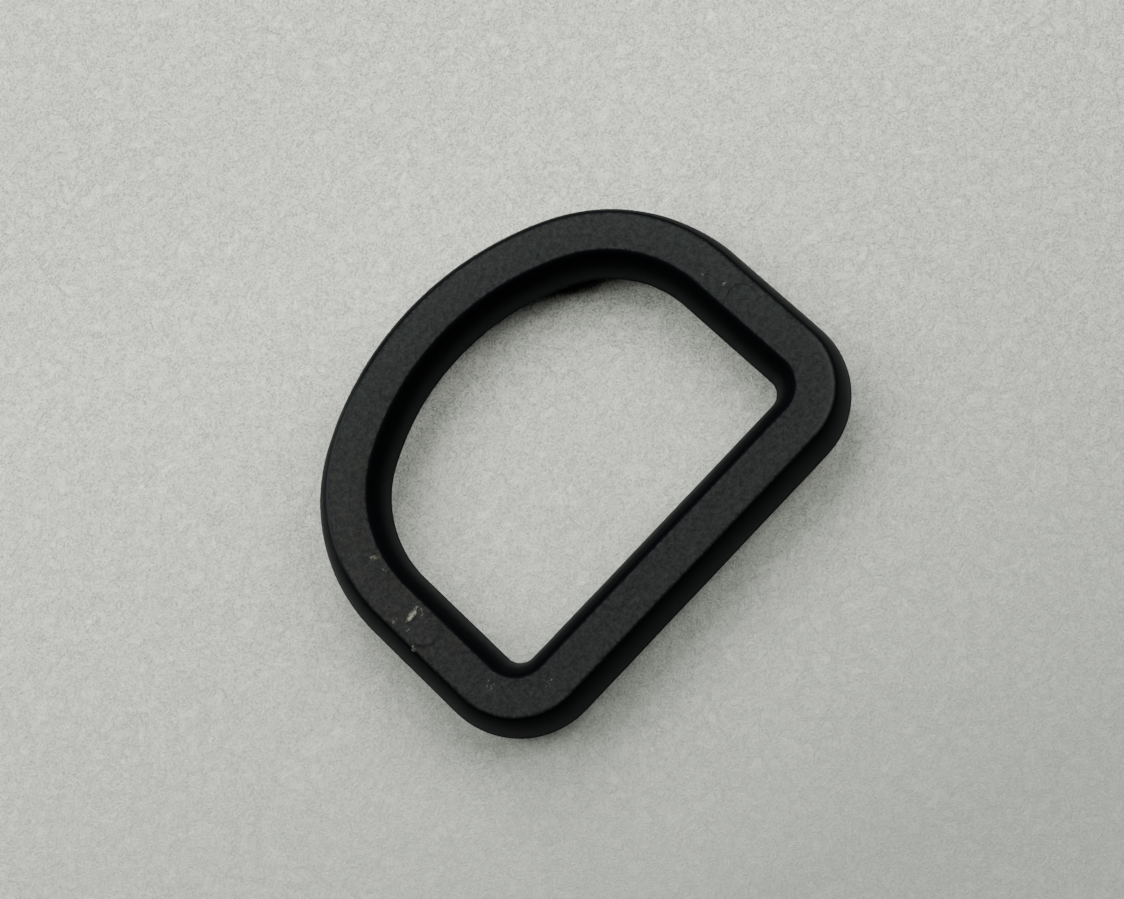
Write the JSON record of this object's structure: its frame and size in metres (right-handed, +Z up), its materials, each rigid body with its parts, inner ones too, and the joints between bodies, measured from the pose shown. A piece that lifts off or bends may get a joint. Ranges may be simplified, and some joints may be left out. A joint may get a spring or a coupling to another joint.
{
  "type": "webbing d ring",
  "caption": "Moulded plastic D-ring with a straight bar for a strap and a round crown for a hook, lying flat.",
  "frame": {"origin": "middle of the footprint, on the underside that the ring lies on", "axes": "+X along the straight bar, +Y from the bar to the crown, +Z up through the opening"},
  "size_m": [0.036, 0.0284, 0.0055],
  "materials": {
    "moulded_plastic": "fine spark-eroded grain, dull black"
  },
  "bodies": {
    "root": {"ring": "moulded_plastic"}
  },
  "joints": []
}
